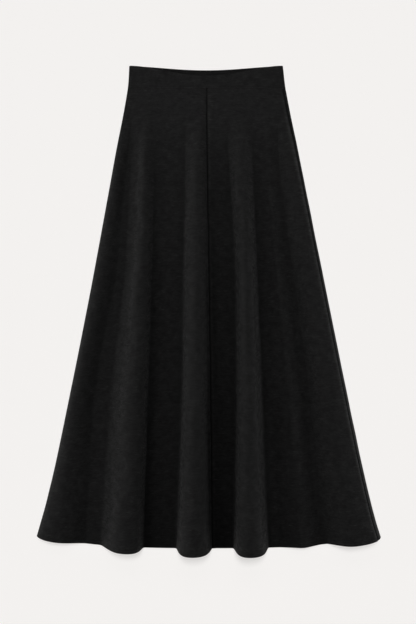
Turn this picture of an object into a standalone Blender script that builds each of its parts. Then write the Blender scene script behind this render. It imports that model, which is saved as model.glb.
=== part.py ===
"""A-line midi skirt in black wool cloth, laid flat and face up.

The skirt lies on the plane z = 0, waist towards +Y, its front upwards, and the origin is under
the middle of its outline.  Every wall is worked out as the middle of its cloth first: a closed
section goes once round the skirt, over the front from left to right and back along the floor,
and runs down from the waist to the hem.  Each piece is the stretch of that tube between its
own seams, given the thickness of the cloth.
"""
from collections import namedtuple

import bmesh
import bpy
from mathutils import Vector

MM = 0.001                      # every size below is in millimetres

# ---- cloth -----------------------------------------------------------------------------------
CLOTH_WALL = 2.0                # wool cloth with its fuzz
BAND_WALL = 2.4                 # the waistband is cut double
SEAM_GAP = 0.3                  # between two pieces that are sewn together
LAYER_GAP = 0.4                 # between the back and the front that lies on it
WAIST_LOFT = 2.0                # how much higher the front lies at the waist, over the zip tape
LOFT_ENDS = (0.20, 0.45)        # the loft fades out between these shares of the length

# ---- lengths along Y -------------------------------------------------------------------------
WAIST_CORNER_Y = 504.0          # top of the waistband at the two side edges
BACK_DIP = 8.4                  # the back's top edge sags this much in the middle
FRONT_DIP = 20.2                # the front's top edge is scooped this much
SEAM_SIDE_Y = 455.5             # waistband seam at the side edges
SEAM_CENTRE_Y = 459.0
HEM_SIDE_Y = -474.5             # hem at the side edges
HEM_CENTRE_Y = -501.5
HEM_BOW = 3.0                   # power of the hem's curve from the middle to the sides
FLUTE_DROP = 2.5                # a flute's crest hangs this much lower at the hem

# ---- the outline of the flat skirt: the two outer edges at a few heights ---------------------
Edge = namedtuple("Edge", "y left right")
EDGES = (
    Edge(504.0, -165.3, 155.2),     # waist
    Edge(456.0, -168.8, 161.0),     # waistband seam
    Edge(308.0, -195.9, 190.4),     # hip
    Edge(14.0, -250.0, 249.0),      # middle of the length
    Edge(-298.0, -312.8, 312.8),    # calf
    Edge(-403.0, -337.2, 337.0),    # the edges flare a little towards the hem
    Edge(-445.0, -349.0, 348.0),
    Edge(-478.0, -358.5, 358.5),    # hem corners
)

# ---- folds: places across the skirt at five stations along the length ------------------------
STATIONS = (0.0, 0.158, 0.40, 0.685, 1.0)      # waist seam, hip, thigh, calf, hem
FOLD_START = 0.03               # share of the length where the folds begin
FOLD_POWER = 0.54               # they rise quicker near the hip than at the hem
FOLD_SOFT_START = 0.12          # and softly over this first share

Flute = namedtuple("Flute", "left right height left_lean right_lean left_sag right_sag")
FLUTES = (
    # both shoulders at the stations, crest height, lean of each wall at the hem, and the share
    # both shoulders at the stations, crest height, lean of each wall at the hem, and the share
    # of the height by which each shoulder sags
    Flute((-140, -146, -158, -185, -203), (-120, -121, -125, -133, -143),
          47.0, 20.0, 6.0, 0.35, 0.08),
    Flute((-38, -38, -44, -48, -59), (-10, -9, -5, -1.5, 0), 60.0, 6.5, 6.5, 0.0, 0.42),
    Flute((46, 52, 63, 64, 59), (77, 82, 93, 105, 116), 62.0, 5.0, 7.0, 0.0, 0.34),
    # a low swell beside the right roll
    Flute((104, 118, 138, 162, 184), (112, 126, 148, 179, 208), 13.0, 33.0, 24.0, 0.0, 0.0),
)
CENTRE_FLUTE = 1                # the centre front seam runs down the right foot of this one
CENTRE_SEAM = (-3.1, -3.1, 0.5, 4.5, 7.5)   # x of the centre front seam at the stations

Crown = namedtuple("Crown", "left_shoulder left_side middle right_side right_shoulder")
CROWN_AT_WAIST = Crown(0.34, 0.70, 0.94, 0.97, 0.54)     # heights over a flute, it leans right
CROWN_AT_HEM = Crown(0.74, 0.98, 1.0, 0.98, 0.76)
HEM_FILLS_OUT = 0.75            # this much of the sag is gone at the hem itself
FILL_OUT_POWER = 8              # and hardly any a little higher
CAP_SHARE = 0.25                # the cap curves over this share of the width at each side
SOFT_LEAN = 20.0                # added to each wall's lean where the fold has only begun
FOOT_FILLET = 4.0               # flat cloth kept beside a flute's foot at the hem

# ---- side rolls: where the front turns over the two side edges -------------------------------
Roll = namedtuple("Roll", "inset height")
LEFT_ROLL = Roll((14, 26, 44, 47, 97), 25.0)    # inset of the roll's inner foot, crest height
RIGHT_ROLL = Roll((14, 42, 57, 74, 107), 41.0)
RollPoint = namedtuple("RollPoint", "inset at_waist below_left below_right")
ROLL_PROFILE = (
    # share of the inset, share of the crest's height at the waist and on each roll further down
    RollPoint(0.00, 0.28, 0.14, 0.14),
    RollPoint(0.00, 0.72, 0.40, 0.45),
    RollPoint(0.09, 1.00, 0.76, 0.82),
    RollPoint(0.24, 1.00, 0.97, 0.98),
    RollPoint(0.44, 1.00, 0.96, 1.00),
    RollPoint(0.63, 1.00, 0.72, 0.93),
    RollPoint(0.82, 1.00, 0.34, 0.50),
)
ROLL_ENDS = (0.0, 0.25)         # the even turn of the waist becomes a roll between these shares
UNDER_TURN = (2.0, 7.0)         # how far in the back reaches the floor, at the waist
UNDER_TURN_GROWTH = 2.0         # and how much further, times that, at the hem

# ---- the back's own lower waves, under the flutes of the front -------------------------------
BACK_WAVE_SHARE = 0.5           # their height over the flute's
BACK_WAVE_INSET = 11.0          # their shoulders stand this far inside the flute's
BACK_WAVE_INSET_SHARE = 0.25    # or this share of its width where the flute is narrow
BACK_FOOT_SHARE = 0.35          # their feet stand inside it by this share of that
BACK_FOOT_FILLET = 1.0          # and lie flat again this far outside it

# ---- seams and zip ---------------------------------------------------------------------------
RIGHT_SEAM_INSET = (4.5, 5.5, 6.7, 7.7, 8.7)   # right side seam, in from the right edge
ZIP_LENGTH = 200.0
ZIP_WIDTH = 20.0
ZIP_WALL = 1.0
ZIP_FROM_EDGE = 9.0             # from the skirt's right edge to the tape's
ZIP_LIFT = 0.3                  # above the inside of the back
ZIP_BELOW_EDGE = 10.0           # from the top edge at the side

# ---- fineness --------------------------------------------------------------------------------
PANEL_ROWS = (0.0, 0.035, 0.08, 0.14, 0.22, 0.32, 0.43, 0.55, 0.67, 0.79, 0.90, 1.0)
BAND_ROWS = (0.0, 0.5, 1.0)
STEPS_PER_SPAN = 2
ZIP_ROWS = 8

CLOTH_COLOUR = (0.012, 0.012, 0.0125, 1.0)
TAPE_COLOUR = (0.010, 0.010, 0.010, 1.0)

Level = namedtuple("Level", "left right place share lie back_mid")


def hermite(places, values, place):
    """Smooth curve through the values, straight beyond its two ends."""
    last = len(places) - 1

    def slope(i):
        before, after = max(i - 1, 0), min(i + 1, last)
        return (values[after] - values[before]) / (places[after] - places[before])

    if place <= places[0]:
        return values[0] + slope(0) * (place - places[0])
    if place >= places[last]:
        return values[last] + slope(last) * (place - places[last])
    i = max(k for k in range(last) if places[k] <= place)
    width = places[i + 1] - places[i]
    t = (place - places[i]) / width
    start, end = slope(i) * width, slope(i + 1) * width
    return (values[i] * (2 * t**3 - 3 * t**2 + 1) + start * (t**3 - 2 * t**2 + t)
            + values[i + 1] * (3 * t**2 - 2 * t**3) + end * (t**3 - t**2))


def along(values, place):
    """A value given at the five stations, at any share of the length."""
    return hermite(STATIONS, values, place)


def fade(place, start, end):
    """1 before start, 0 after end, with a soft turn between them."""
    t = min(max((place - start) / (end - start), 0.0), 1.0)
    return 1.0 - t * t * (3.0 - 2.0 * t)


def crown_at(level, left_sag, right_sag):
    """Heights over a flute, as shares of its height, at one level."""
    shares = [low + level.share * (high - low)
              for low, high in zip(CROWN_AT_WAIST, CROWN_AT_HEM)]
    crown = Crown(*shares)
    sag = level.share * (1.0 - HEM_FILLS_OUT * level.place**FILL_OUT_POWER)
    return crown._replace(
        left_shoulder=crown.left_shoulder - sag * left_sag,
        left_side=crown.left_side - sag * left_sag / 2,
        right_side=crown.right_side - sag * right_sag / 2,
        right_shoulder=crown.right_shoulder - sag * right_sag,
    )


def edge_x(y, side):
    """X of the outline's left or right edge at a height."""
    rows = sorted(EDGES, key=lambda row: row.y)
    return hermite([row.y for row in rows], [getattr(row, side) for row in rows], y)


def level_at(side_y, place, wall):
    """What the section needs to know at one height of the skirt."""
    rise = max(place - FOLD_START, 0.0) / (1.0 - FOLD_START)
    lie = CLOTH_WALL + LAYER_GAP + CLOTH_WALL / 2
    return Level(
        left=edge_x(side_y, "left") + wall / 2,
        right=edge_x(side_y, "right") - wall / 2,
        place=place,
        share=rise**FOLD_POWER * (1.0 - fade(rise, 0.0, FOLD_SOFT_START)),
        lie=lie + WAIST_LOFT * fade(place, *LOFT_ENDS),
        back_mid=wall / 2,
    )


def panel_level(place):
    """Section of the skirt at a share of the length from the waist seam to the hem."""
    return level_at(SEAM_SIDE_Y + place * (HEM_SIDE_Y - SEAM_SIDE_Y), place, CLOTH_WALL)


def band_level(drop):
    """Section of the waistband at a share of its depth below the top edge."""
    return level_at(WAIST_CORNER_Y + drop * (SEAM_SIDE_Y - WAIST_CORNER_Y), 0.0, BAND_WALL)


def roll_points(level, roll, edge, inward):
    """Control points from the outermost edge in over one side roll, to its inner foot."""
    inset = along(roll.inset, level.place)
    crest = level.lie + roll.height * level.share
    even = fade(level.place, *ROLL_ENDS)
    points = []
    for row in ROLL_PROFILE:
        below = row.below_left if inward > 0 else row.below_right
        share = below + even * (row.at_waist - below)
        height = level.back_mid + share * (crest - level.back_mid)
        points.append((edge + inward * row.inset * inset, height))
    points.append((edge + inward * inset, level.lie))
    points.append((edge + inward * (inset + FOOT_FILLET * level.share), level.lie))
    return points


def flute_points(level, flute):
    """Control points over one flute of the front, from floor to floor."""
    left, right = along(flute.left, level.place), along(flute.right, level.place)
    height = flute.height * level.share
    soft = SOFT_LEAN * level.share**0.25 * (1.0 - level.share)**2
    left_foot = left - flute.left_lean * level.share - soft
    right_foot = right + flute.right_lean * level.share + soft
    fillet = 1.0 + FOOT_FILLET * level.share
    cap = CAP_SHARE * (right - left)
    crown = crown_at(level, flute.left_sag, flute.right_sag)
    profile = (
        (left_foot - fillet, 0.0), (left_foot, 0.0),
        (left, crown.left_shoulder * height), (left + cap, crown.left_side * height),
        ((left + right) / 2, crown.middle * height),
        (right - cap, crown.right_side * height), (right, crown.right_shoulder * height),
        (right_foot, 0.0), (right_foot + fillet, 0.0),
    )
    return [(x, level.lie + z) for x, z in profile]


def wave_points(level, flute):
    """Control points over the back's wave under one flute, from right to left."""
    left, right = along(flute.left, level.place), along(flute.right, level.place)
    inset = min(BACK_WAVE_INSET, BACK_WAVE_INSET_SHARE * (right - left))
    foot = BACK_FOOT_SHARE * inset
    height = BACK_WAVE_SHARE * flute.height * level.share
    cap = CAP_SHARE * (right - left - 2 * inset)
    crown = crown_at(level, 0.0, 0.0)
    profile = (
        (right + BACK_FOOT_FILLET, 0.0), (right - foot, 0.0),
        (right - inset, crown.right_shoulder * height),
        (right - inset - cap, crown.right_side * height),
        ((left + right) / 2, crown.middle * height),
        (left + inset + cap, crown.left_side * height),
        (left + inset, crown.left_shoulder * height), (left + foot, 0.0),
        (left - BACK_FOOT_FILLET, 0.0),
    )
    return [(x, level.back_mid + z) for x, z in profile]


def between(first, second, count):
    """Evenly spaced points strictly between two others."""
    steps = [(k + 1) / (count + 1) for k in range(count)]
    return [tuple(a + t * (b - a) for a, b in zip(first, second)) for t in steps]


def section_points(level):
    """The closed control polygon of one section, and where its seams are.

    It starts low at the left edge, crosses the front to the right edge, and returns along
    the floor.  The marks are the numbers of some of its points.
    """
    marks = {"left_seam": 0}
    points = roll_points(level, LEFT_ROLL, level.left, 1)
    for number, flute in enumerate(FLUTES):
        over = flute_points(level, flute)
        points += between(points[-1], over[0], min(number, 1))
        if number == CENTRE_FLUTE:
            marks["centre_crest"] = len(points) + 4
            marks["centre_foot"] = len(points) + len(over)
        points += over
    right_side = roll_points(level, RIGHT_ROLL, level.right, -1)[::-1]
    points += between(points[-1], right_side[0], 1)
    marks["right_crest"] = len(points) + 4
    points += right_side
    marks["right_edge"] = len(points) - 2

    reach = 1.0 + UNDER_TURN_GROWTH * level.share
    turn = [(inset * reach, level.back_mid) for inset in UNDER_TURN]
    points += [(level.right - inset, z) for inset, z in turn]
    for flute in reversed(FLUTES):
        wave = wave_points(level, flute)
        points += between(points[-1], wave[0], 1)
        points += wave
    last = [(level.left + inset, z) for inset, z in reversed(turn)]
    points += between(points[-1], last[0], 1)
    points += last
    marks["end"] = len(points)
    return points, marks


def spline(points, s):
    """Uniform cubic B-spline round a closed polygon; a whole s is level with point s."""
    i = int(s // 1)
    t = s - i
    weights = ((1 - t)**3 / 6, (3 * t**3 - 6 * t**2 + 4) / 6,
               (-3 * t**3 + 3 * t**2 + 3 * t + 1) / 6, t**3 / 6)
    near = [points[(i + k - 1) % len(points)] for k in range(4)]
    return tuple(sum(w * p[axis] for w, p in zip(weights, near)) for axis in (0, 1))


def place_at(points, goal, low, high):
    """Place between two others at which the section reaches a given x."""
    for _ in range(30):
        middle = (low + high) / 2
        if spline(points, middle)[0] < goal:
            low = middle
        else:
            high = middle
    return low


def centre_seam(level):
    """Place of the centre front seam round the section, beside the centre flute."""
    points, marks = section_points(level)
    goal = along(CENTRE_SEAM, level.place)
    return place_at(points, goal, marks["centre_crest"], marks["centre_foot"])


def right_seam(level):
    """Place of the right side seam round the section: a set way in from the right edge."""
    points, marks = section_points(level)
    goal = level.right - along(RIGHT_SEAM_INSET, level.place)
    return place_at(points, goal, marks["right_crest"], marks["right_edge"])


def across_share(level, x):
    """0 in the middle of the section, 1 at either edge."""
    middle, half = (level.left + level.right) / 2, (level.right - level.left) / 2
    return min(abs(x - middle) / half, 1.0)


def panel_point(s, place):
    """Middle of the cloth of the skirt, below the waistband seam."""
    level = panel_level(place)
    x, z = spline(section_points(level)[0], s)
    side_y = SEAM_SIDE_Y + place * (HEM_SIDE_Y - SEAM_SIDE_Y)
    centre_y = SEAM_CENTRE_Y + place * (HEM_CENTRE_Y - SEAM_CENTRE_Y)
    y = side_y + (centre_y - side_y) * (1.0 - across_share(level, x)**HEM_BOW)
    y -= FLUTE_DROP * place * (z - level.back_mid) / FLUTES[CENTRE_FLUTE].height
    return Vector((x, y, z))


def band_point(dip):
    """Middle of the waistband's cloth, for a top edge with this dip in the middle."""
    def point(s, drop):
        level = band_level(drop)
        x, z = spline(section_points(level)[0], s)
        share = across_share(level, x)
        low = SEAM_SIDE_Y + (SEAM_CENTRE_Y - SEAM_SIDE_Y) * (1.0 - share**HEM_BOW)
        high = WAIST_CORNER_Y - dip * (1.0 - share**2)**2
        return Vector((x, high + drop * (low - high), z))
    return point


def steps_between(start, end, per_span):
    """Even steps from start to end, about per_span of them to each unit."""
    count = max(int(round((end - start) * per_span)), 1)
    return [start + (end - start) * k / count for k in range(count + 1)]


def wall_grids(point, columns, rows, wall, sewn):
    """Outer and inner points of a cloth wall, drawn in by half a gap on its sewn sides.

    columns(row) gives the places round the section, and sewn names the sides that meet
    another piece.
    """
    tick = 0.002
    outer, inner = [], []
    for j, row in enumerate(rows):
        places = columns(row)
        outer.append([])
        inner.append([])
        for i, s in enumerate(places):
            round_way = (point(s + tick, row) - point(s - tick, row)).normalized()
            long_way = (point(s, row + tick) - point(s, row - tick)).normalized()
            out = long_way.cross(round_way).normalized()
            middle = point(s, row)
            if i == 0 and "first_column" in sewn:
                middle += round_way * SEAM_GAP / 2
            if i == len(places) - 1 and "last_column" in sewn:
                middle -= round_way * SEAM_GAP / 2
            if j == 0 and "first_row" in sewn:
                middle += long_way * SEAM_GAP / 2
            if j == len(rows) - 1 and "last_row" in sewn:
                middle -= long_way * SEAM_GAP / 2
            outer[-1].append(middle + out * wall / 2)
            inner[-1].append(middle - out * wall / 2)
    return outer, inner


def make_wall(name, grids, material):
    """One closed solid from the outer and inner points of a wall."""
    outer, inner = grids
    mesh_builder = bmesh.new()
    sides = [[[mesh_builder.verts.new(p * MM) for p in row] for row in grid]
             for grid in (outer, inner)]
    rows, columns = len(outer), len(outer[0])
    quad = mesh_builder.faces.new
    top, under = sides
    for j in range(rows - 1):
        for i in range(columns - 1):
            quad((top[j][i], top[j + 1][i], top[j + 1][i + 1], top[j][i + 1]))
            quad((under[j][i], under[j][i + 1], under[j + 1][i + 1], under[j + 1][i]))
    ring = [(0, i) for i in range(columns)]
    ring += [(j, columns - 1) for j in range(1, rows)]
    ring += [(rows - 1, i) for i in range(columns - 2, -1, -1)]
    ring += [(j, 0) for j in range(rows - 2, 0, -1)]
    for (j, i), (next_j, next_i) in zip(ring, ring[1:] + ring[:1]):
        quad((top[j][i], top[next_j][next_i], under[next_j][next_i], under[j][i]))

    mesh = bpy.data.meshes.new(name)
    mesh_builder.to_mesh(mesh)
    mesh_builder.free()
    mesh.shade_smooth()
    mesh.set_sharp_from_angle(angle=0.9)
    mesh.materials.append(material)
    piece = bpy.data.objects.new(name, mesh)
    bpy.context.scene.collection.objects.link(piece)
    return piece


def cloth_material(name, colour, roughness):
    material = bpy.data.materials.new(name)
    material.use_nodes = True
    shader = material.node_tree.nodes["Principled BSDF"]
    shader.inputs["Base Color"].default_value = colour
    shader.inputs["Roughness"].default_value = roughness
    shader.inputs["Metallic"].default_value = 0.0
    return material


def seam_places(level):
    """Places of the four seams round the section, in order."""
    marks = section_points(level)[1]
    return (marks["left_seam"], centre_seam(level), right_seam(level), marks["end"])


def stretch(level_of, first, last, per_span):
    """Columns between two seams, the same number of them at every row."""
    top = seam_places(level_of(0.0))
    count = len(steps_between(top[first], top[last], per_span)) - 1

    def columns(row):
        seams = seam_places(level_of(row))
        width = seams[last] - seams[first]
        return [seams[first] + width * k / count for k in range(count + 1)]
    return columns


def make_panels():
    """The two front panels and the back, between the waist seam and the hem."""
    names = (("front_left", 0, 1), ("front_right", 1, 2), ("back", 2, 3))
    for name, first, last in names:
        columns = stretch(panel_level, first, last, STEPS_PER_SPAN)
        sewn = ("first_column", "last_column", "first_row")
        grids = wall_grids(panel_point, columns, PANEL_ROWS, CLOTH_WALL, sewn)
        make_wall(name, grids, cloth_material(name + "_cloth", CLOTH_COLOUR, 0.9))


def make_waistband():
    """The band's front and back, each between the two side seams."""
    names = (("waistband_front", 0, 2, FRONT_DIP), ("waistband_back", 2, 3, BACK_DIP))
    for name, first, last, dip in names:
        columns = stretch(band_level, first, last, STEPS_PER_SPAN / 2)
        sewn = ("first_column", "last_column", "last_row")
        grids = wall_grids(band_point(dip), columns, BAND_ROWS, BAND_WALL, sewn)
        make_wall(name, grids, cloth_material(name + "_cloth", CLOTH_COLOUR, 0.9))


def make_zip():
    """The closed zip's tape, flat between the layers beside the right side seam."""
    top = WAIST_CORNER_Y - ZIP_BELOW_EDGE
    lift = BAND_WALL + ZIP_LIFT + ZIP_WALL / 2

    def point(s, share):
        y = top - ZIP_LENGTH * share
        return Vector((edge_x(y, "right") - ZIP_FROM_EDGE - ZIP_WIDTH * (1.0 - s), y, lift))

    rows = [k / ZIP_ROWS for k in range(ZIP_ROWS + 1)]
    grids = wall_grids(point, lambda row: [0.0, 0.5, 1.0], rows, ZIP_WALL, ())
    make_wall("side_zip", grids, cloth_material("side_zip_tape", TAPE_COLOUR, 0.8))


def main():
    for old in list(bpy.data.objects):
        bpy.data.objects.remove(old, do_unlink=True)
    make_panels()
    make_waistband()
    make_zip()


main()
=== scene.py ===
"""Looks of the black wool A-line skirt, which lies flat and face up.

Each cloth piece is a fine shell on the form of its CAD solid: the same closed section runs from
the waist to the hem, with soft creases, pressed seams and turned edges added to it.  Sizes are
in millimetres until the mesh is made; the frame is metres, +Y to the waist and +Z up.
"""
from collections import namedtuple
from math import pi

import bpy
import numpy as np
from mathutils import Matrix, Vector


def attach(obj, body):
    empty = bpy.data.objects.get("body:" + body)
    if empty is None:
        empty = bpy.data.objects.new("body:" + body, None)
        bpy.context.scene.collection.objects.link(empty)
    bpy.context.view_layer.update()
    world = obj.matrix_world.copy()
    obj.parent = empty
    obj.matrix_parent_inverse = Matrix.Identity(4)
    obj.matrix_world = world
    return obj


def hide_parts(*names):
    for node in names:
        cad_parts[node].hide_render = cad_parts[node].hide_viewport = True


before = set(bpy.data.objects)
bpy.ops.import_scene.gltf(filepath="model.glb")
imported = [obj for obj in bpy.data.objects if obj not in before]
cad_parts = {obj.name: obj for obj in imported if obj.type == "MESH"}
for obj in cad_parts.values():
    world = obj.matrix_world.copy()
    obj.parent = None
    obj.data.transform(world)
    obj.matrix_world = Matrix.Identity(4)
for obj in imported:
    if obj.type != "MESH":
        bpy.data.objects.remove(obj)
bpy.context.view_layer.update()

MM = 0.001

# ---- cloth -----------------------------------------------------------------------------------
CLOTH_WALL = 2.0
BAND_WALL = 2.4
SEAM_GAP = 0.3                  # between two pieces at their seam
LAYER_GAP = 0.4                 # between the front and the back that it lies on
WAIST_LOFT = 2.0                # how much higher the front lies near the waist
LOFT_ENDS = (0.20, 0.45)        # shares of the length over which that goes
HEM_TURN = 32.0                 # depth of the hem that is turned up inside
HEM_TURN_WALL = 0.3             # how far it stands in from the wall
SEAM_DIP_REACH = 2.0            # how far from a seam its cloth dips
SEAM_RIDGE_AT = 5.0             # a pressed ridge over the turnings, this far from the seam
SEAM_RIDGE_WIDTH = 3.0
SEAM_RIDGE_FADE = 90.0          # it grows over this length below the waist seam
SHADE_AT_TOP = 0.6              # a seam's shade is this much of its full width at the top
SHADE_GROWTH = 320.0            # and full from this far down

# ---- lengths along Y -------------------------------------------------------------------------
WAIST_CORNER_Y = 504.0
BACK_DIP = 8.4                  # how much lower the top edge is in the middle
FRONT_DIP = 20.2
SEAM_SIDE_Y = 455.5             # waist seam
SEAM_CENTRE_Y = 459.0
HEM_SIDE_Y = -474.5
HEM_CENTRE_Y = -501.5
HEM_BOW = 3.0                   # power of the curve from the middle to the sides
FLUTE_DROP = 2.5                # how much lower the hem is on the centre flute's crest

Edge = namedtuple("Edge", "y left right")
EDGES = (
    Edge(504.0, -165.3, 155.2),     # waist
    Edge(456.0, -168.8, 161.0),     # waistband seam
    Edge(308.0, -195.9, 190.4),     # hip
    Edge(14.0, -250.0, 249.0),      # middle of the length
    Edge(-298.0, -312.8, 312.8),    # calf
    Edge(-403.0, -337.2, 337.0),
    Edge(-445.0, -349.0, 348.0),
    Edge(-478.0, -358.5, 358.5),    # hem corners
)

# ---- folds, at five stations along the length ------------------------------------------------
STATIONS = (0.0, 0.158, 0.40, 0.685, 1.0)
FOLD_START = 0.03               # share of the length at which the folds start
FOLD_POWER = 0.54               # power with which they grow from there
FOLD_SOFT_START = 0.12          # share over which they start softly

# left and right: x of a flute's shoulders; lean: how far out of them its feet stand at full
# height; sag: how much lower a shoulder lies, as a share of the height
Flute = namedtuple("Flute", "left right height left_lean right_lean left_sag right_sag")
FLUTES = (
    Flute((-140, -146, -158, -185, -203), (-120, -121, -125, -133, -143),
          47.0, 20.0, 6.0, 0.35, 0.08),
    Flute((-38, -38, -44, -48, -59), (-10, -9, -5, -1.5, 0), 60.0, 6.5, 6.5, 0.0, 0.42),
    Flute((46, 52, 63, 64, 59), (77, 82, 93, 105, 116), 62.0, 5.0, 7.0, 0.0, 0.34),
    Flute((104, 118, 138, 162, 184), (112, 126, 148, 179, 208), 13.0, 33.0, 24.0, 0.0, 0.0),
)
CENTRE_FLUTE = 1
CENTRE_SEAM = (-3.1, -3.1, 0.5, 4.5, 7.5)       # x of the centre front seam
# heights over a flute, as shares of its own
Crown = namedtuple("Crown", "left_shoulder left_side middle right_side right_shoulder")
CROWN_AT_WAIST = Crown(0.34, 0.70, 0.94, 0.97, 0.54)
CROWN_AT_HEM = Crown(0.74, 0.98, 1.0, 0.98, 0.76)
HEM_FILLS_OUT = 0.75            # this much of the sag is gone at the hem itself
FILL_OUT_POWER = 8              # and the higher this is, the nearer to the hem it goes
CAP_SHARE = 0.25                # of a flute's width, from its shoulder in to its cap
SOFT_LEAN = 20.0                # how far the feet of a low fold spread
SOFT_LEAN_POWERS = (0.25, 2)    # of the height that a fold has, and of what it lacks
FOOT_FILLET = 4.0               # more room for the turn at a fold's foot, at full height
LEAST_FILLET = 1.0              # and that of a fold that has only started
CREST_POINT = 4                 # number of the crest among a fold's control points

# inset: width of a side roll at the stations, and of a point in it as a share of that; the
# point's height is a share of the crest's, at the waist and below it
Roll = namedtuple("Roll", "inset height")
LEFT_ROLL = Roll((14, 26, 44, 47, 97), 25.0)
RIGHT_ROLL = Roll((14, 42, 57, 74, 107), 41.0)
RollPoint = namedtuple("RollPoint", "inset at_waist below_left below_right")
ROLL_PROFILE = (
    RollPoint(0.00, 0.28, 0.14, 0.14),
    RollPoint(0.00, 0.72, 0.40, 0.45),
    RollPoint(0.09, 1.00, 0.76, 0.82),
    RollPoint(0.24, 1.00, 0.97, 0.98),
    RollPoint(0.44, 1.00, 0.96, 1.00),
    RollPoint(0.63, 1.00, 0.72, 0.93),
    RollPoint(0.82, 1.00, 0.34, 0.50),
)
ROLL_ENDS = (0.0, 0.25)         # shares of the length over which a roll takes its shape
UNDER_TURN = (2.0, 7.0)         # control points on the floor, in from the edge
UNDER_TURN_GROWTH = 2.0         # and how much further in at the hem, as a share

BACK_WAVE_SHARE = 0.5           # the back's wave under a flute, as a share of its height
BACK_WAVE_INSET = 11.0          # how far inside the flute it stands, at most
BACK_WAVE_INSET_SHARE = 0.25    # or as a share of the flute's width
BACK_FOOT_SHARE = 0.35          # how far in its foot is, as a share of that
BACK_FOOT_FILLET = 1.0          # how far outside the flute its wave's last point lies

RIGHT_SEAM_INSET = (4.5, 5.5, 6.7, 7.7, 8.7)    # right side seam, in from the right edge

# ---- soft creases: from and to in plan, half width, depth of the trough (below 0: a ridge) ---
Crease = namedtuple("Crease", "x0 y0 x1 y1 width depth")
FRONT_CREASES = (
    Crease(-118, 300, -104, -60, 9, -0.9),
    Crease(-86, 120, -92, -250, 12, -0.8),
    Crease(-30, 330, -34, 80, 10, -0.7),
    Crease(-44, 20, -40, -330, 8, -0.6),
    Crease(14, 330, 22, 60, 7, -0.7),
    Crease(26, 40, 30, -300, 9, -0.7),
    Crease(70, 200, 82, -140, 9, -0.6),
    Crease(128, 260, 150, 40, 10, -0.8),
    Crease(160, 60, 196, -210, 14, -1.0),
    Crease(150, -120, 176, -420, 12, -0.8),
    Crease(222, -180, 236, -430, 10, -0.7),
    Crease(-205, -60, -240, -300, 12, -0.8),
    Crease(-168, 260, -196, 60, 8, -0.6),
    Crease(-284, -250, -310, -440, 14, -0.8),
    Crease(-60, 452, -44, 380, 9, -0.5),
    Crease(96, 450, 84, 372, 9, -0.5),
    # down the left flute
    Crease(-138, 335, -128, 240, 6, -1.7),
    Crease(-152, 215, -134, 130, 6, 2.3),
    Crease(-146, 100, -154, -20, 8, -2.3),
    Crease(-168, -30, -146, -115, 8, 2.8),
    Crease(-164, -140, -174, -265, 9, -2.7),
    Crease(-190, -285, -164, -350, 9, 3.0),
    Crease(-176, -365, -192, -485, 10, -2.5),
    # down the centre flute
    Crease(-30, 305, -22, 215, 6, -1.5),
    Crease(-36, 200, -16, 120, 7, 2.1),
    Crease(-20, 95, -30, -35, 8, -2.3),
    Crease(-42, -60, -14, -125, 8, 3.0),
    Crease(-18, -145, -32, -250, 9, -2.5),
    Crease(-50, -285, -14, -345, 9, 3.2),
    Crease(-24, -365, -38, -490, 10, -2.3),
    # down the right flute
    Crease(58, 290, 68, 195, 6, -1.5),
    Crease(64, 185, 86, 105, 7, 2.3),
    Crease(84, 70, 74, -30, 8, -2.3),
    Crease(66, -70, 98, -140, 9, 3.2),
    Crease(92, -155, 82, -280, 10, -2.7),
    Crease(70, -290, 108, -350, 10, 3.2),
    Crease(96, -370, 84, -495, 10, -2.5),
    # along the right shoulders of the centre and the right flute
    Crease(-8, 200, 6, -720, 11, 3.6),
    Crease(92, 120, 124, -700, 9, 2.4),
    # over the right swell and the two side rolls
    Crease(196, -190, 176, -300, 10, -2.5),
    Crease(240, -40, 222, -170, 9, -2.1),
    Crease(300, -260, 276, -350, 11, 2.5),
    Crease(-262, -90, -238, -200, 9, -1.9),
    Crease(-300, -330, -262, -420, 12, 2.3),
)
BACK_CREASES = (
    Crease(-100, 330, -108, -40, 12, 0.7),
    Crease(20, 300, 26, -120, 11, 0.6),
    Crease(150, 220, 190, -180, 14, 0.7),
    Crease(-214, -20, -262, -320, 14, 0.7),
)
CREASE_BEND = 0.12              # how far a crease wavers, as a share of its half width
CREASE_TAPER = 1.2              # how much it thins out towards its ends
RELIEF_EASE = 12.0              # creases die out this far from a piece's edges
NAP_RIPPLE = 0.18               # the cloth's own unevenness

# ---- looks of the cloth: linear colours, sizes in metres -------------------------------------
CLOTH_DARK = (0.0074, 0.0074, 0.0074, 1.0)
CLOTH_LIGHT = (0.0149, 0.0149, 0.0148, 1.0)
CLOTH_FLECK = (0.0220, 0.0220, 0.0218, 1.0)
CLOTH_STOPS = ((0.40, CLOTH_DARK), (0.60, CLOTH_LIGHT), (0.72, CLOTH_FLECK))
Grain = namedtuple("Grain", "scale detail stretch tone height")     # a noise and its weights
BLOTCH = Grain(75.0, 2.0, (0.8, 1.0, 1.0), 0.40, 5.0)
FLECK = Grain(300.0, 1.0, (0.40, 1.0, 1.0), 0.35, 1.4)
FIBRE = Grain(1500.0, 2.0, (0.5, 1.0, 1.0), 0.15, 1.6)
DASH = Grain(260.0, 1.0, (0.25, 1.4, 1.0), 0.10, 0.0)
GRAIN_ROUGHNESS = 0.6
SPARK_FROM, SPARK_TONE = 0.66, 1.6              # the strongest dashes are lighter still
TWILL_PITCH, TWILL_SLOPE, TWILL_HEIGHT = 0.0011, 0.8, 0.35
WEFT_PITCH, WEFT_HEIGHT = 0.0008, 0.15
BUMP_STRENGTH, BUMP_DEPTH = 0.50, 0.0004
ROUGHNESS_RANGE = (0.82, 0.98)
SPECULAR = 0.12
SHEEN, SHEEN_ROUGHNESS, SHEEN_TINT = 0.12, 0.35, (0.9, 0.9, 0.9, 1.0)
SHADE_DEPTH = 0.80              # how much darker full shade is
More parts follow.
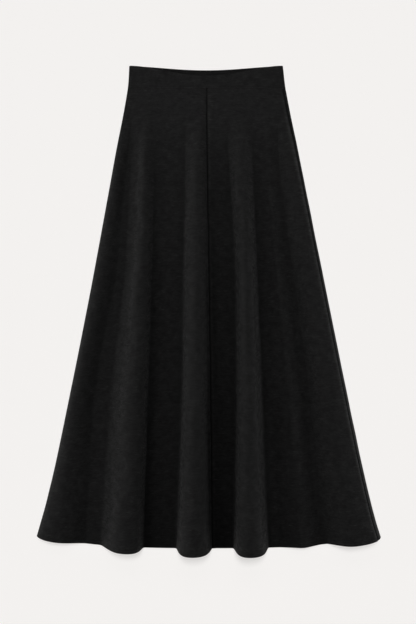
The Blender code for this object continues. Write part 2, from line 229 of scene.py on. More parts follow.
HIGHLIGHT_SHEEN_LIMIT = 1.6               # and how much more sheen the painted highlight on a pressed ridge gives at most
FUZZ_MELANGE = 6.0              # the fuzz is thicker on the light threads
INSIDE_SHADE = 0.45             # set on the cloth's inside faces, in the channel of the seams' shade: it darkens their colour and thins their sheen
TAPE_STOPS = ((0.0, (0.010, 0.010, 0.010, 1.0)), (1.0, CLOTH_LIGHT))
TAPE_RIBS, TAPE_WAVER, TAPE_SPECKS = 260.0, 0.4, 900.0
TAPE_BUMP_STRENGTH, TAPE_BUMP_DEPTH = 0.4, 0.0003
TAPE_ROUGHNESS = 0.75

# ---- stage, camera and light, in metres ------------------------------------------------------
AROUND = ((-1, -1), (1, -1), (1, 1), (-1, 1))
FLOOR_REACH = 12.5
FLOOR_DROP = 0.0002             # how far the floor lies below the skirt's underside
FLOOR_PAPER = (0.40, 0.395, 0.390, 1.0)
FLOOR_GLOW = (0.673, 0.659, 0.646, 1.0)
SURROUND_REACH, SURROUND_FOOT, SURROUND_HEIGHT = 12.0, -1.0, 8.0
SURROUND_TONE = (0.896, 0.880, 0.863, 1.0)      # as the lit floor
CAMERA_HEIGHT = 1.70
VIEW_HEIGHT = 1.304             # of the floor that is seen, from top to bottom
VIEW_CENTRE = (-0.001, -0.009)
SENSOR = 36.0                   # millimetres
BOXES_AIM_AT = (0.0, -0.05, 0.0)
SoftBox = namedtuple("SoftBox", "name place size power")
SOFT_BOXES = (
    SoftBox("left_low", (-2.3, 0.0, 0.45), (0.5, 1.6), 38.0),
    SoftBox("left_high", (-1.4, 0.0, 1.65), (0.6, 1.6), 11.8),
    SoftBox("left_waist", (-1.3, 1.3, 1.1), (0.8, 0.8), 10.2),
    SoftBox("right_low", (2.3, 0.0, 0.45), (0.5, 1.6), 31.5),
    SoftBox("right_high", (1.4, 0.0, 1.65), (0.6, 1.6), 7.8),
    SoftBox("right_waist", (1.3, 1.3, 1.1), (0.8, 0.8), 4.0),
)
FloorSun = namedtuple("FloorSun", "name power angle lean")      # lean: towards the waist
FLOOR_SUNS = (
    FloorSun("floor_high", 1.85, 0.26, 0.47),
    FloorSun("floor_low", 0.50, 0.8, 2.2),
)
WORLD_STRENGTH = 0.0            # the lights and the glowing stage give all the light


# ================================ form of the cloth ===========================================

# The edges, the place down the length (0 to 1), the share of the folds' full height, and the
# heights at which the middle of the front's and of the back's cloth lies.
Level = namedtuple("Level", "left right place share lie back_mid")


def hermite(places, values, place):
    """Smooth curve through the values, straight beyond its two ends."""
    last = len(places) - 1

    def slope(i):
        before, after = max(i - 1, 0), min(i + 1, last)
        return (values[after] - values[before]) / (places[after] - places[before])

    if place <= places[0]:
        return values[0] + slope(0) * (place - places[0])
    if place >= places[last]:
        return values[last] + slope(last) * (place - places[last])
    i = max(k for k in range(last) if places[k] <= place)
    width = places[i + 1] - places[i]
    t = (place - places[i]) / width
    start, end = slope(i) * width, slope(i + 1) * width
    return (values[i] * (2 * t**3 - 3 * t**2 + 1) + start * (t**3 - 2 * t**2 + t)
            + values[i + 1] * (3 * t**2 - 2 * t**3) + end * (t**3 - t**2))


def fade(place, start, end):
    """1 before start, 0 after end, with a soft turn between them."""
    t = np.clip((place - start) / (end - start), 0.0, 1.0)
    return 1.0 - t * t * (3.0 - 2.0 * t)


def crown_at(level, left_sag, right_sag):
    """Heights over a flute, as shares of its height, at one level."""
    shares = [low + level.share * (high - low)
              for low, high in zip(CROWN_AT_WAIST, CROWN_AT_HEM)]
    crown = Crown(*shares)
    sag = level.share * (1.0 - HEM_FILLS_OUT * level.place**FILL_OUT_POWER)
    return crown._replace(
        left_shoulder=crown.left_shoulder - sag * left_sag,
        left_side=crown.left_side - sag * left_sag / 2,
        right_side=crown.right_side - sag * right_sag / 2,
        right_shoulder=crown.right_shoulder - sag * right_sag,
    )


def edge_x(y, side):
    """X of the left or the right edge at one height of the skirt."""
    rows = sorted(EDGES, key=lambda row: row.y)
    return hermite([row.y for row in rows], [getattr(row, side) for row in rows], y)


def level_at(side_y, place, wall):
    """What the section needs to know at one height of the skirt."""
    rise = max(place - FOLD_START, 0.0) / (1.0 - FOLD_START)
    lie = CLOTH_WALL + LAYER_GAP + CLOTH_WALL / 2
    return Level(
        left=edge_x(side_y, "left") + wall / 2,
        right=edge_x(side_y, "right") - wall / 2,
        place=place,
        share=rise**FOLD_POWER * float(1.0 - fade(rise, 0.0, FOLD_SOFT_START)),
        lie=lie + WAIST_LOFT * float(fade(place, *LOFT_ENDS)),
        back_mid=wall / 2,
    )


def panel_level(place):
    """Level at a place between the waist seam (0) and the hem (1)."""
    return level_at(SEAM_SIDE_Y + place * (HEM_SIDE_Y - SEAM_SIDE_Y), place, CLOTH_WALL)


def band_level(drop):
    """Level in the waistband, from its top edge (0) to the waist seam (1)."""
    return level_at(WAIST_CORNER_Y + drop * (SEAM_SIDE_Y - WAIST_CORNER_Y), 0.0, BAND_WALL)


def roll_points(level, roll, edge, inward):
    """Control points from the outermost edge in over one side roll, to its inner foot."""
    inset = hermite(STATIONS, roll.inset, level.place)
    crest = level.lie + roll.height * level.share
    even = float(fade(level.place, *ROLL_ENDS))
    points = []
    for row in ROLL_PROFILE:
        below = row.below_left if inward > 0 else row.below_right
        share = below + even * (row.at_waist - below)
        height = level.back_mid + share * (crest - level.back_mid)
        points.append((edge + inward * row.inset * inset, height))
    points.append((edge + inward * inset, level.lie))
    points.append((edge + inward * (inset + FOOT_FILLET * level.share), level.lie))
    return points


def flute_points(level, flute):
    """Control points over one flute of the front, from left to right."""
    left = hermite(STATIONS, flute.left, level.place)
    right = hermite(STATIONS, flute.right, level.place)
    height = flute.height * level.share
    has, lacks = SOFT_LEAN_POWERS
    soft = SOFT_LEAN * level.share**has * (1.0 - level.share)**lacks
    left_foot = left - flute.left_lean * level.share - soft
    right_foot = right + flute.right_lean * level.share + soft
    fillet = LEAST_FILLET + FOOT_FILLET * level.share
    cap = CAP_SHARE * (right - left)
    crown = crown_at(level, flute.left_sag, flute.right_sag)
    profile = (
        (left_foot - fillet, 0.0), (left_foot, 0.0),
        (left, crown.left_shoulder * height), (left + cap, crown.left_side * height),
        ((left + right) / 2, crown.middle * height),
        (right - cap, crown.right_side * height), (right, crown.right_shoulder * height),
        (right_foot, 0.0), (right_foot + fillet, 0.0),
    )
    return [(x, level.lie + z) for x, z in profile]


def wave_points(level, flute):
    """Control points over the back's wave under one flute, from right to left."""
    left = hermite(STATIONS, flute.left, level.place)
    right = hermite(STATIONS, flute.right, level.place)
    inset = min(BACK_WAVE_INSET, BACK_WAVE_INSET_SHARE * (right - left))
    foot = BACK_FOOT_SHARE * inset
    height = BACK_WAVE_SHARE * flute.height * level.share
    cap = CAP_SHARE * (right - left - 2 * inset)
    crown = crown_at(level, 0.0, 0.0)
    profile = (
        (right + BACK_FOOT_FILLET, 0.0), (right - foot, 0.0),
        (right - inset, crown.right_shoulder * height),
        (right - inset - cap, crown.right_side * height),
        ((left + right) / 2, crown.middle * height),
        (left + inset + cap, crown.left_side * height),
        (left + inset, crown.left_shoulder * height), (left + foot, 0.0),
        (left - BACK_FOOT_FILLET, 0.0),
    )
    return [(x, level.back_mid + z) for x, z in profile]


def between(first, second, count):
    """Evenly spaced points strictly between two others."""
    steps = [(k + 1) / (count + 1) for k in range(count)]
    return [tuple(a + t * (b - a) for a, b in zip(first, second)) for t in steps]


def section_points(level):
    """The closed control polygon of one section, and the numbers of its points at the seams."""
    marks = {"left_seam": 0}
    points = roll_points(level, LEFT_ROLL, level.left, 1)
    for number, flute in enumerate(FLUTES):
        over = flute_points(level, flute)
        points += between(points[-1], over[0], min(number, 1))
        if number == CENTRE_FLUTE:
            marks["centre_crest"] = len(points) + CREST_POINT
            marks["centre_foot"] = len(points) + len(over)
        points += over
    right_side = roll_points(level, RIGHT_ROLL, level.right, -1)[::-1]
    points += between(points[-1], right_side[0], 1)
    marks["right_crest"] = len(points) + CREST_POINT
    points += right_side
    marks["right_edge"] = len(points) - 2
    reach = 1.0 + UNDER_TURN_GROWTH * level.share
    turn = [(inset * reach, level.back_mid) for inset in UNDER_TURN]
    points += [(level.right - inset, z) for inset, z in turn]
    for flute in reversed(FLUTES):
        wave = wave_points(level, flute)
        points += between(points[-1], wave[0], 1)
        points += wave
    last = [(level.left + inset, z) for inset, z in reversed(turn)]
    points += between(points[-1], last[0], 1)
    points += last
    marks["end"] = len(points)
    return np.array(points), marks


def spline(points, places):
    """Uniform cubic B-spline round the closed polygon, at an array of places."""
    number = np.floor(places).astype(int)
    t = (places - number)[:, None]
    weights = ((1 - t)**3 / 6, (3 * t**3 - 6 * t**2 + 4) / 6,
               (-3 * t**3 + 3 * t**2 + 3 * t + 1) / 6, t**3 / 6)
    return sum(w * points[(number + k - 1) % len(points)] for k, w in enumerate(weights))


HALVINGS = 30


def place_at(points, goal, low, high):
    """Place between two others at which the section reaches a given x."""
    for _ in range(HALVINGS):
        middle = (low + high) / 2
        if spline(points, np.array([middle]))[0, 0] < goal:
            low = middle
        else:
            high = middle
    return low


def seam_places(level):
    """Places of the seams round the section: left, centre front, right side, left again."""
    points, marks = section_points(level)
    centre_x = hermite(STATIONS, CENTRE_SEAM, level.place)
    centre = place_at(points, centre_x, marks["centre_crest"], marks["centre_foot"])
    right_x = level.right - hermite(STATIONS, RIGHT_SEAM_INSET, level.place)
    right = place_at(points, right_x, marks["right_crest"], marks["right_edge"])
    return marks["left_seam"], centre, right, marks["end"]


def across_share(level, x):
    """How far out from the middle x is: 0 there and 1 at the edges."""
    middle, half = (level.left + level.right) / 2, (level.right - level.left) / 2
    return np.minimum(np.abs(x - middle) / half, 1.0)


def panel_row(places, place):
    """Middle of the cloth along one row of the skirt, below the waistband seam."""
    level = panel_level(place)
    x, z = spline(section_points(level)[0], places).T
    side_y = SEAM_SIDE_Y + place * (HEM_SIDE_Y - SEAM_SIDE_Y)
    centre_y = SEAM_CENTRE_Y + place * (HEM_CENTRE_Y - SEAM_CENTRE_Y)
    y = side_y + (centre_y - side_y) * (1.0 - across_share(level, x)**HEM_BOW)
    y -= FLUTE_DROP * place * (z - level.back_mid) / FLUTES[CENTRE_FLUTE].height
    return np.stack((x, y, z), axis=1)


def band_row(dip):
    """The same for the waistband, for a top edge with this dip in the middle."""
    def row(places, drop):
        level = band_level(drop)
        x, z = spline(section_points(level)[0], places).T
        share = across_share(level, x)
        low = SEAM_SIDE_Y + (SEAM_CENTRE_Y - SEAM_SIDE_Y) * (1.0 - share**HEM_BOW)
        high = WAIST_CORNER_Y - dip * (1.0 - share**2)**2
        return np.stack((x, high + drop * (low - high), z), axis=1)
    return row


def unit(vectors):
    """The vectors' directions."""
    return vectors / np.linalg.norm(vectors, axis=-1, keepdims=True)


def crease_relief(points, creases):
    """Height of the soft creases over the plain form."""
    relief = np.zeros(len(points))
    for crease in creases:
        start = np.array((crease.x0, crease.y0), float)
        way = np.array((crease.x1, crease.y1)) - start
        length = np.linalg.norm(way)
        way /= length
        offset = points[:, :2] - start
        along = offset @ way
        bend = CREASE_BEND * crease.width * np.sin(along / length * 2 * pi + crease.x0)
        aside = offset @ np.array((-way[1], way[0])) - bend
        t = np.clip(along / length, 0.0, 1.0)
        swell = np.sin(pi * t)**CREASE_TAPER
        relief -= crease.depth * swell * np.exp(-(aside / crease.width)**2)
    return relief


def ripple(points):
    """Slow, small waves of lengths that don't repeat, so that no cloth lies dead flat."""
    x, y = points[:, 0], points[:, 1]
    waves = (np.sin(x / 17.0 + 1.3 * np.sin(y / 61.0)) * np.sin(y / 43.0 + 0.7)
             + 0.6 * np.sin(x / 8.3 - y / 29.0 + 2.1 * np.sin(y / 83.0)))
    return NAP_RIPPLE * waves


# ================================ meshes ======================================================

Seams = namedtuple("Seams", "first last top bottom")    # dip at each sewn side, None if free
Press = namedtuple("Press", "height reach shine")       # a seam's pressed ridge, the reach of the painted shade in it, and a painted highlight on the ridge
FLAT = Press(0.0, 1.7, 0.0)
# the centre and side seams get a painted highlight on their pressed ridges (last number)
CENTRE_PRESS = Press(1.4, 1.6, 0.5)
SIDE_PRESS = Press(1.2, 3.0, 1.3)
Bed = namedtuple("Bed", "height inward outward")        # where a panel lies, its play there
FREE = 9.0
ON_THE_BACK = Bed(1.5 * CLOTH_WALL + LAYER_GAP, 0.3, FREE)
ON_THE_FLOOR = Bed(CLOTH_WALL / 2, 0.0, 0.0)
ROOM_IN_A_FOLD = 0.5            # of the height over the bed
Fineness = namedtuple("Fineness", "per_span rows edge_row")         # of a mesh
PANEL_FINENESS = Fineness(6, 110, 1.2)
BAND_FINENESS = Fineness(4, 16, 0.7)
EDGE_ROWS = (0.0, 0.6, 1.4, 2.4, 4.0)           # extra rows at an edge, in edge_row's unit
EDGE_ROWS_CLEAR = 1.5           # even rows start this much further in than the last of them
SEAM_COLUMNS = (0.25, 0.5, 0.75)                # extra columns in the span next to a seam
EDGE_TURNS = (pi / 5, 2 * pi / 5)               # angles of the two rows round a free edge
TICK = 0.002                    # step for slopes, in places and in shares of the length
SHARP_ANGLE = 1.2               # radians


def cloth_frames(row_of, columns_of, rows):
    """Middle of the cloth over its grid, and the ways out, round and down at each point."""
    middle, out, round_way, long_way = [], [], [], []
    for row in rows:
        places = columns_of(row)
        middle.append(row_of(places, row))
        round_way.append(unit(row_of(places + TICK, row) - row_of(places - TICK, row)))
        long_way.append(unit(row_of(places, row + TICK) - row_of(places, row - TICK)))
        out.append(unit(np.cross(long_way[-1], round_way[-1])))
    return tuple(np.array(values) for values in (middle, out, round_way, long_way))


def run_along(middle, axis):
    """Distance along the cloth from its first row (axis 0) or its first column (axis 1)."""
    steps = np.linalg.norm(np.diff(middle, axis=axis), axis=2)
    start = np.zeros_like(steps.take([0], axis=axis))
    return np.concatenate((start, np.cumsum(steps, axis=axis)), axis=axis)


def laid_relief(middle, from_edges, creases, bed):
    """Creases and ripples, which die out at the edges and don't go into what lies below."""
    relief = np.stack([crease_relief(points, creases) + ripple(points) for points in middle])
    ease = 1.0
    for distance in from_edges:
        ease = ease * np.clip(distance / RELIEF_EASE, 0.0, 1.0)
    lift = ROOM_IN_A_FOLD * np.maximum(middle[..., 2] - bed.height, 0.0)
    return np.clip(relief * ease, -bed.inward - lift, bed.outward + lift)


def seam_marks(from_edges, seams, presses):
    """Pressed ridges beside the seams, dips at the seams, painted shade in them, and a painted
    highlight on the ridges.
    """
    down = from_edges[2]
    ridges, shine = np.zeros_like(down), np.zeros_like(down)
    for press, distance in zip(presses, from_edges):
        ridge = np.exp(-((distance - SEAM_RIDGE_AT) / SEAM_RIDGE_WIDTH)**2)
        ridge *= np.clip(down / SEAM_RIDGE_FADE, 0.0, 1.0)
        ridges += press.height * ridge
        shine += press.shine * ridge
    dip, shade = np.zeros_like(down), np.zeros_like(down)
    wide = SHADE_AT_TOP + (1.0 - SHADE_AT_TOP) * np.clip(down / SHADE_GROWTH, 0.0, 1.0)
    reaches = [press.reach for press in (*presses, FLAT, FLAT)]
    for seam, distance, reach in zip(seams, from_edges, reaches):
        if seam is not None:
            dip = np.maximum(dip, seam * np.exp(-(distance / SEAM_DIP_REACH)**2))
            shade = np.maximum(shade, min(seam, 1.0) * np.exp(-(distance / (reach * wide))**2))
    # the painted highlight on a ridge goes out as shade below zero
    return ridges, dip, shade - shine * (1.0 - shade)


def cloth_grid(row_of, columns_of, rows, wall, seams, creases, presses, bed, hem=False):
    """Outer and inner points of a cloth shell, their place across the cloth and their painted
    shade and highlight.

    Free top and bottom edges are turned over in a half circle, and sewn ones dip a little.
    """
    middle, out, round_way, long_way = cloth_frames(row_of, columns_of, rows)
    across, down = run_along(middle, 1), run_along(middle, 0)
    to_end = down[-1:] - down
    from_edges = (across, across[:, -1:] - across, down, to_end)
    relief = laid_relief(middle, from_edges, creases, bed)
    ridges, dip, shade = seam_marks(from_edges, seams, presses)
    relief += ridges

    if seams.first is not None:
        middle[:, 0] += round_way[:, 0] * SEAM_GAP / 2
    if seams.last is not None:
        middle[:, -1] -= round_way[:, -1] * SEAM_GAP / 2
    if seams.top is not None:
        middle[0] += long_way[0] * SEAM_GAP / 2
    if seams.bottom is not None:
        middle[-1] -= long_way[-1] * SEAM_GAP / 2

    half = np.full_like(across, wall / 2)
    inner_half = half + (HEM_TURN_WALL * (to_end < HEM_TURN) if hem else 0.0)
    outer = middle + out * (half + relief - dip)[..., None]
    inner = middle - out * (inner_half - relief)[..., None]
    if seams.bottom is None:
        outer, inner = turned_edge(outer, inner, long_way[-1], -1)
    if seams.top is None:
        outer, inner = turned_edge(outer, inner, -long_way[0], 0)
    extra = outer.shape[0] - across.shape[0]
    if extra:
        before = extra if seams.top is None else 0
        padding = ((before, extra - before), (0, 0))
        across, shade = (np.pad(values, padding, mode="edge") for values in (across, shade))
    return outer, inner, across, shade


def turned_edge(outer, inner, way, row):
    """Round a free edge off: its last row is drawn back, and two rows turn over it."""
    middle = (outer[row] + inner[row]) / 2
    reach = np.linalg.norm(outer[row] - inner[row], axis=1, keepdims=True) / 2
    up = unit(outer[row] - inner[row])
    rings = []
    for angle in EDGE_TURNS:
        rim = middle - way * reach + way * reach * np.sin(angle)
        lift = up * reach * np.cos(angle)
        rings.append((rim + lift, rim - lift))
    outer[row] -= way * reach
    inner[row] -= way * reach
    new_outer = np.array([ring[0] for ring in rings])
    new_inner = np.array([ring[1] for ring in rings])
    if row == 0:
        return (np.concatenate((new_outer[::-1], outer)),
                np.concatenate((new_inner[::-1], inner)))
    return np.concatenate((outer, new_outer)), np.concatenate((inner, new_inner))


def new_object(name, points, faces, material):
    """A mesh object in the scene, in metres."""
    mesh = bpy.data.meshes.new(name)
    mesh.from_pydata(points, [], faces)
    mesh.materials.append(material)
    thing = bpy.data.objects.new(name, mesh)
    bpy.context.scene.collection.objects.link(thing)
    return thing


def shell_object(name, grid, material):
    """One closed shell, with the place on the flat cloth and the painted shade and highlight
    kept on its points.
    """
    outer, inner, across, shade = grid
    rows, columns = across.shape
    count = rows * columns
    number = np.arange(count).reshape(rows, columns)
    top = np.stack((number[:-1, :-1], number[1:, :-1], number[1:, 1:], number[:-1, 1:]), axis=-1)
    under = top[..., ::-1] + count
    ring = np.concatenate((number[0, :-1], number[:-1, -1], number[-1, :0:-1], number[:0:-1, 0]))
    following = np.roll(ring, -1)
    rim = np.stack((ring, following, following + count, ring + count), axis=-1)
    faces = np.concatenate((top.reshape(-1, 4), under.reshape(-1, 4), rim))
    points = np.concatenate((outer.reshape(-1, 3), inner.reshape(-1, 3))) * MM

    piece = new_object(name, points.tolist(), faces.tolist(), material)
    inside = np.repeat((False, True), count)
    layers = (("cloth_across", np.tile(across.ravel() * MM, 2)),
              ("cloth_down", -points[:, 1]),
              ("cloth_shade", np.where(inside, INSIDE_SHADE, np.tile(shade.ravel(), 2))))
    for label, values in layers:
        layer = piece.data.attributes.new(label, "FLOAT", "POINT")
        layer.data.foreach_set("value", values.astype(np.float32))
    piece.data.shade_smooth()
    piece.data.set_sharp_from_angle(angle=SHARP_ANGLE)
    return piece


def rows_down(fineness, length):
    """Even rows with a few extra close to both ends, where a seam or an edge turns."""
    near = [fineness.edge_row * k / length for k in EDGE_ROWS]
    clear = near[-1] * EDGE_ROWS_CLEAR
    even = [k / fineness.rows for k in range(fineness.rows + 1)]
    rest = [row for row in even if clear < row < 1.0 - clear]
    return near + rest + [1.0 - row for row in reversed(near)]


def columns_between(level_of, first, last, fineness):
    """Columns between two seams, closer together next to them."""
    seams = seam_places(level_of(0.0))
    count = int(round((seams[last] - seams[first]) * fineness.per_span))
    shares = np.linspace(0.0, 1.0, count + 1)
    near = shares[1] * np.array(SEAM_COLUMNS)
    shares = np.concatenate((shares[:1], near, shares[1:-1], 1.0 - near[::-1], shares[-1:]))

    def columns(row):
        ends = seam_places(level_of(row))
        return ends[first] + (ends[last] - ends[first]) * shares
    return columns


# ================================ materials ===================================================

def new_material(name):
    """A material and its node tree, still empty."""
    material = bpy.data.materials.new(name)
    material.use_nodes = True
    material.node_tree.nodes.clear()
    return material, material.node_tree


def add(tree, kind, **settings):
    """A new node: in_... sets one of its sockets, and any other name one of its properties."""
    node = tree.nodes.new(kind)
    for key, value in settings.items():
        if key.startswith("in_"):
            node.inputs[key[3:].replace("_", " ")].default_value = value
        else:
            setattr(node, key, value)
    return node


def show(tree, surface):
    """Make this shader the material's surface."""
    output = add(tree, "ShaderNodeOutputMaterial")
    tree.links.new(surface, output.inputs["Surface"])


def maths(tree, operation, first, second=None):
    """A sum of one or two values, each a socket or a number."""
    node = add(tree, "ShaderNodeMath", operation=operation)
    for socket, value in zip(node.inputs, (first, second)):
        if value is None:
            continue
        if isinstance(value, (int, float)):
            socket.default_value = value
        else:
            tree.links.new(value, socket)
    return node.outputs[0]


def plus(tree, total, value, weight):
    """The total and a weighted value."""
    return maths(tree, "ADD", total, maths(tree, "MULTIPLY", value, weight))


def ribs(tree, distance, pitch):
    """Waves from -1 to 1, this far apart."""
    return maths(tree, "SINE", maths(tree, "MULTIPLY", distance, 2 * pi / pitch))


def noise(tree, vector, grain):
    """Noise over the flat cloth, stretched along its threads."""
    mapping = add(tree, "ShaderNodeMapping", in_Scale=grain.stretch)
    tree.links.new(vector, mapping.inputs["Vector"])
    node = add(tree, "ShaderNodeTexNoise", in_Scale=grain.scale, in_Detail=grain.detail,
               in_Roughness=GRAIN_ROUGHNESS)
    tree.links.new(mapping.outputs["Vector"], node.inputs["Vector"])
    return node.outputs["Fac"]


def ramp(tree, value, stops):
    """The colour at a value, between stops of place and colour."""
    node = add(tree, "ShaderNodeValToRGB")
    elements = node.color_ramp.elements
    for number, (place, colour) in enumerate(stops[:2]):
        elements[number].position = place
        elements[number].color = colour
    for place, colour in stops[2:]:
        elements.new(place).color = colour
    tree.links.new(value, node.inputs["Fac"])
    return node.outputs["Color"]


def wool_material():
    """Matt black wool blend: fine twill, fuzzy nap, faint melange, painted seam shade and
    highlight.
    """
    material, tree = new_material("black_wool")
    link = tree.links.new
    across, down, shade = (
        add(tree, "ShaderNodeAttribute", attribute_name=label).outputs["Fac"]
        for label in ("cloth_across", "cloth_down", "cloth_shade"))
    joined = add(tree, "ShaderNodeCombineXYZ")
    link(across, joined.inputs["X"])
    link(down, joined.inputs["Y"])
    blotch, fleck, fibre, dash = (
        noise(tree, joined.outputs["Vector"], grain) for grain in (BLOTCH, FLECK, FIBRE, DASH))

    tone = maths(tree, "MULTIPLY", blotch, BLOTCH.tone)
    tone = plus(tree, tone, fleck, FLECK.tone)
    tone = plus(tree, tone, fibre, FIBRE.tone)
    tone = plus(tree, tone, dash, DASH.tone)
    spark = maths(tree, "MAXIMUM", maths(tree, "SUBTRACT", dash, SPARK_FROM), 0.0)
    tone = plus(tree, tone, spark, SPARK_TONE)

    twill = ribs(tree, plus(tree, across, down, TWILL_SLOPE), TWILL_PITCH)
    height = maths(tree, "MULTIPLY", twill, TWILL_HEIGHT)
    height = plus(tree, height, ribs(tree, down, WEFT_PITCH), WEFT_HEIGHT)
    height = plus(tree, height, fibre, FIBRE.height)
    height = plus(tree, height, fleck, FLECK.height)
    height = plus(tree, height, blotch, BLOTCH.height)
    bump = add(tree, "ShaderNodeBump", in_Strength=BUMP_STRENGTH, in_Distance=BUMP_DEPTH)
    link(height, bump.inputs["Height"])

    rough = add(tree, "ShaderNodeMapRange",
                in_To_Min=ROUGHNESS_RANGE[0], in_To_Max=ROUGHNESS_RANGE[1])
    link(fleck, rough.inputs["Value"])

    # painted shade darkens the colour and thins the sheen; below zero it is a painted highlight
    # that lightens both
    painted_light_factor = maths(tree, "SUBTRACT", 1.0, maths(tree, "MULTIPLY", shade, SHADE_DEPTH))
    shaded = add(tree, "ShaderNodeVectorMath", operation="SCALE")
    link(ramp(tree, tone, CLOTH_STOPS), shaded.inputs[0])
    link(painted_light_factor, shaded.inputs["Scale"])
    fuzz = maths(tree, "MULTIPLY", maths(tree, "MINIMUM", painted_light_factor, HIGHLIGHT_SHEEN_LIMIT), SHEEN)
    tufts = maths(tree, "ADD", maths(tree, "MULTIPLY", tone, FUZZ_MELANGE),
                  1.0 - FUZZ_MELANGE / 2)
    tufts = maths(tree, "MAXIMUM", tufts, 0.0)

    shader = add(tree, "ShaderNodeBsdfPrincipled", in_Specular_IOR_Level=SPECULAR,
                 in_Sheen_Roughness=SHEEN_ROUGHNESS, in_Sheen_Tint=SHEEN_TINT)
    link(shaded.outputs["Vector"], shader.inputs["Base Color"])
    link(maths(tree, "MULTIPLY", fuzz, tufts), shader.inputs["Sheen Weight"])
    link(rough.outputs["Result"], shader.inputs["Roughness"])
    link(bump.outputs["Normal"], shader.inputs["Normal"])
    show(tree, shader.outputs["BSDF"])
    return material


def tape_material():
    """Plain woven zip tape."""
    material, tree = new_material("zip_tape")
    link = tree.links.new
    place = add(tree, "ShaderNodeTexCoord").outputs["Object"]
    rib = add(tree, "ShaderNodeTexWave", in_Scale=TAPE_RIBS, in_Distortion=TAPE_WAVER)
    link(place, rib.inputs["Vector"])
    speck = add(tree, "ShaderNodeTexNoise", in_Scale=TAPE_SPECKS)
    link(place, speck.inputs["Vector"])
    bump = add(tree, "ShaderNodeBump", in_Strength=TAPE_BUMP_STRENGTH,
               in_Distance=TAPE_BUMP_DEPTH)
    link(rib.outputs["Fac"], bump.inputs["Height"])
    shader = add(tree, "ShaderNodeBsdfPrincipled", in_Roughness=TAPE_ROUGHNESS)
    link(ramp(tree, speck.outputs["Fac"], TAPE_STOPS), shader.inputs["Base Color"])
    link(bump.outputs["Normal"], shader.inputs["Normal"])
    show(tree, shader.outputs["BSDF"])
    return material


# ================================ pieces ======================================================

Panel = namedtuple("Panel", "name node first last seams presses creases bed rests")
LEFT_DIP, CENTRE_DIP, SIDE_DIP, WAIST_DIP, BAND_SIDE_DIP = 0.4, 1.6, 1.4, 0.25, 0.2
PANELS = (
    Panel("front_left_cloth", "front_left", 0, 1,
          Seams(LEFT_DIP, CENTRE_DIP, WAIST_DIP, None), (FLAT, FLAT),
          FRONT_CREASES, ON_THE_BACK, ("back",)),
    Panel("front_right_cloth", "front_right", 1, 2,
          Seams(CENTRE_DIP, SIDE_DIP, WAIST_DIP, None), (CENTRE_PRESS, SIDE_PRESS),
          FRONT_CREASES, ON_THE_BACK, ("back",)),
    Panel("back_cloth", "back", 2, 3,
          Seams(SIDE_DIP, LEFT_DIP, WAIST_DIP, None), (FLAT, FLAT),
          BACK_CREASES, ON_THE_FLOOR, ("floor",)),
)
Band = namedtuple("Band", "name node first last dip rests")
BANDS = (
    Band("band_front_cloth", "waistband_front", 0, 2, FRONT_DIP, ("waistband_back",)),
    Band("band_back_cloth", "waistband_back", 2, 3, BACK_DIP, ("floor",)),
)
BAND_SEAMS = Seams(BAND_SIDE_DIP, BAND_SIDE_DIP, None, WAIST_DIP)


def dress(part, grid, wool):
    """Put a piece of cloth in the place of its solid."""
    piece = shell_object(part.name, grid, wool)
    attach(piece, "root")
    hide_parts(part.node)
    return piece


def make_panel(panel, wool):
    """A panel of the skirt, from the waist seam to the hem."""
    columns = columns_between(panel_level, panel.first, panel.last, PANEL_FINENESS)
    rows = rows_down(PANEL_FINENESS, SEAM_SIDE_Y - HEM_SIDE_Y)
    grid = cloth_grid(panel_row, columns, rows, CLOTH_WALL,
                      panel.seams, panel.creases, panel.presses, panel.bed, hem=True)
    return dress(panel, grid, wool)


def make_band(band, wool):
    """One side of the waistband."""
    columns = columns_between(band_level, band.first, band.last, BAND_FINENESS)
    rows = rows_down(BAND_FINENESS, WAIST_CORNER_Y - SEAM_SIDE_Y)
    grid = cloth_grid(band_row(band.dip), columns, rows, BAND_WALL,
                      BAND_SEAMS, (), (FLAT, FLAT), ON_THE_FLOOR)
    return dress(band, grid, wool)


def dress_zip():
    """The hidden tape keeps its solid and takes its woven material."""
    tape = bpy.data.objects["side_zip"]
    material = tape_material()
    tape.data.materials.clear()
    tape.data.materials.append(material)


# ================================ stage =======================================================

def aim(thing, target):
    """Turn a light towards a point."""
    thing.rotation_euler = (Vector(target) - thing.location).to_track_quat("-Z", "Y").to_euler()


def light_only(light, things):
    """Let a light or a glowing thing reach these things alone."""
    group = bpy.data.collections.new("lit_by_" + light.name)
    for thing in things:
        group.objects.link(thing)
    light.light_linking.receiver_collection = group


def make_floor():
    """A plain pale floor, bright of itself, that the skirt's shadow marks only a little."""
    material, tree = new_material("floor_paper")
    shader = add(tree, "ShaderNodeBsdfPrincipled", in_Base_Color=FLOOR_PAPER, in_Roughness=1.0,
                 in_Specular_IOR_Level=0.0, in_Emission_Color=FLOOR_GLOW,
                 in_Emission_Strength=1.0)
    show(tree, shader.outputs["BSDF"])
    corners = [(x * FLOOR_REACH, y * FLOOR_REACH, 0.0) for x, y in AROUND]
    floor = new_object("floor", corners, [(0, 1, 2, 3)], material)
    floor.location.z = -FLOOR_DROP
    return floor


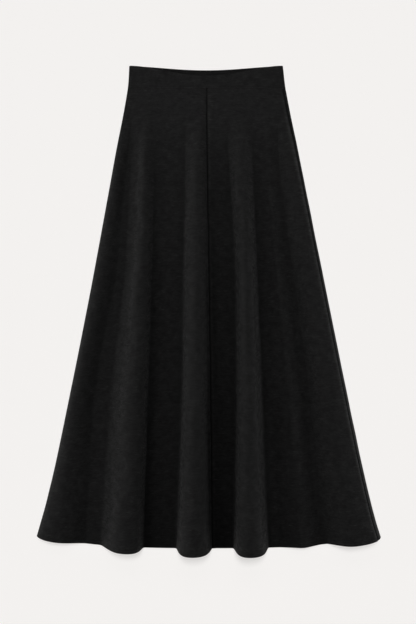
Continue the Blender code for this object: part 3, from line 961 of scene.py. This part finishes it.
def make_surround():
    """Pale walls far off, which low views see behind the skirt; they light nothing else."""
    material, tree = new_material("surround_paper")
    show(tree, add(tree, "ShaderNodeEmission", in_Color=SURROUND_TONE).outputs["Emission"])
    corners = [(x * SURROUND_REACH, y * SURROUND_REACH, z)
               for z in (SURROUND_FOOT, SURROUND_HEIGHT) for x, y in AROUND]
    faces = [(k, k + 4, (k + 1) % 4 + 4, (k + 1) % 4) for k in range(4)]
    walls = new_object("surround", corners, faces, material)
    light_only(walls, [walls])


def make_light(skirt, floor):
    """Soft boxes round the skirt, and two soft lights on the floor from the waist's side."""
    for row in SOFT_BOXES:
        light = bpy.data.lights.new(row.name, "AREA")
        light.shape = "RECTANGLE"
        light.size, light.size_y = row.size
        light.energy = row.power
        box = bpy.data.objects.new(row.name, light)
        box.location = row.place
        aim(box, BOXES_AIM_AT)
        bpy.context.scene.collection.objects.link(box)
        light_only(box, skirt)

    for row in FLOOR_SUNS:
        sun = bpy.data.lights.new(row.name, "SUN")
        sun.energy = row.power
        sun.angle = row.angle
        over = bpy.data.objects.new(row.name, sun)
        over.location = (0.0, row.lean, 1.0)
        aim(over, (0.0, 0.0, 0.0))
        bpy.context.scene.collection.objects.link(over)
        light_only(over, [floor])

    world = bpy.data.worlds.new("surround")
    world.use_nodes = True
    world.node_tree.nodes["Background"].inputs["Strength"].default_value = WORLD_STRENGTH
    bpy.context.scene.world = world


def make_camera():
    """Straight above the skirt."""
    data = bpy.data.cameras.new("camera")
    data.sensor_fit = "VERTICAL"
    data.sensor_height = SENSOR
    data.lens = SENSOR * CAMERA_HEIGHT / VIEW_HEIGHT
    camera = bpy.data.objects.new("camera", data)
    camera.location = (*VIEW_CENTRE, CAMERA_HEIGHT)
    bpy.context.scene.collection.objects.link(camera)
    bpy.context.scene.camera = camera


def main():
    wool = wool_material()
    skirt = [make_panel(panel, wool) for panel in PANELS]
    skirt += [make_band(band, wool) for band in BANDS]
    dress_zip()
    make_light(skirt, make_floor())
    make_surround()
    make_camera()
    bpy.context.scene.view_settings.view_transform = "Standard"


main()
